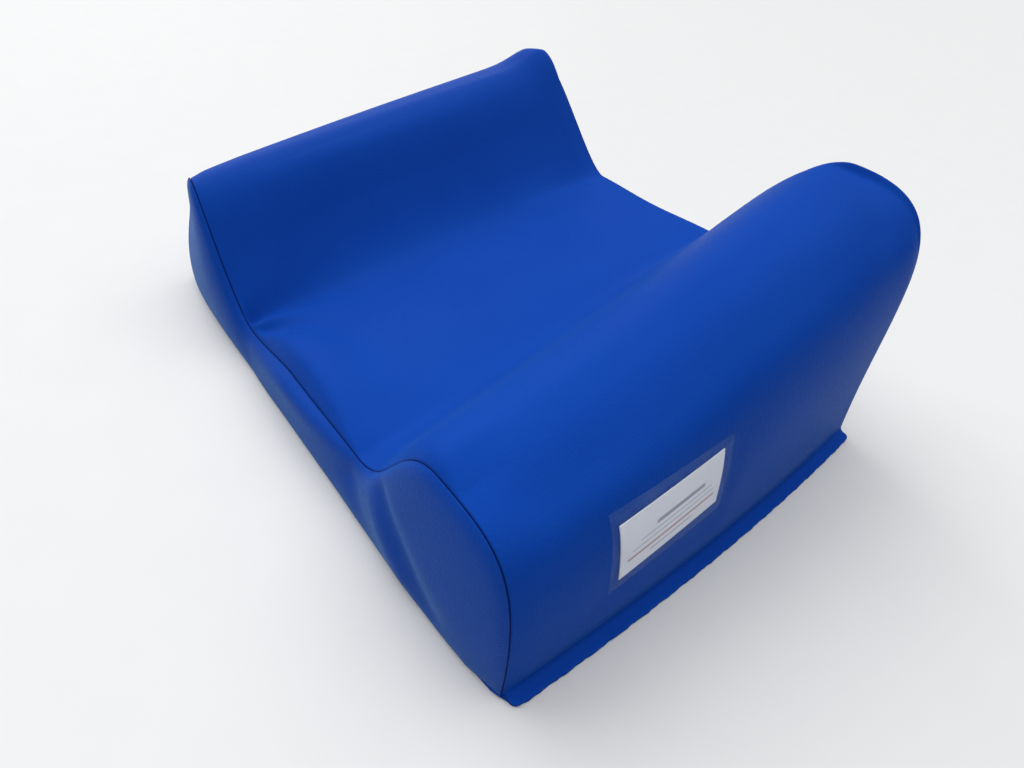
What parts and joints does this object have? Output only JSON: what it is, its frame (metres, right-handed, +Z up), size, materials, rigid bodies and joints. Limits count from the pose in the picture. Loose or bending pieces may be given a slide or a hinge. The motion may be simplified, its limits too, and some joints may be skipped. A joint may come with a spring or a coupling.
{
  "type": "stretcher head pillow",
  "caption": "Wedge-shaped foam head cradle for a stretcher: side bolsters, a sloping trough between them, sewn end panels, base flanges and a clear label pocket.",
  "frame": {"origin": "on the resting surface, under the middle of the pillow's box", "axes": "+Z up, +X towards the long wall with the label pocket, -Y towards the low front end"},
  "size_m": [0.3716, 0.2761, 0.1415],
  "materials": {
    "blue_cover": "satin royal blue artificial leather",
    "clear_film": "clear film",
    "white_card": "matt white card"
  },
  "bodies": {
    "root": {"pillow_body": "blue_cover", "front_end_panel": "blue_cover", "rear_end_panel": "blue_cover", "base_panel": "blue_cover", "label_pocket": "clear_film", "label_card": "white_card"}
  },
  "joints": []
}
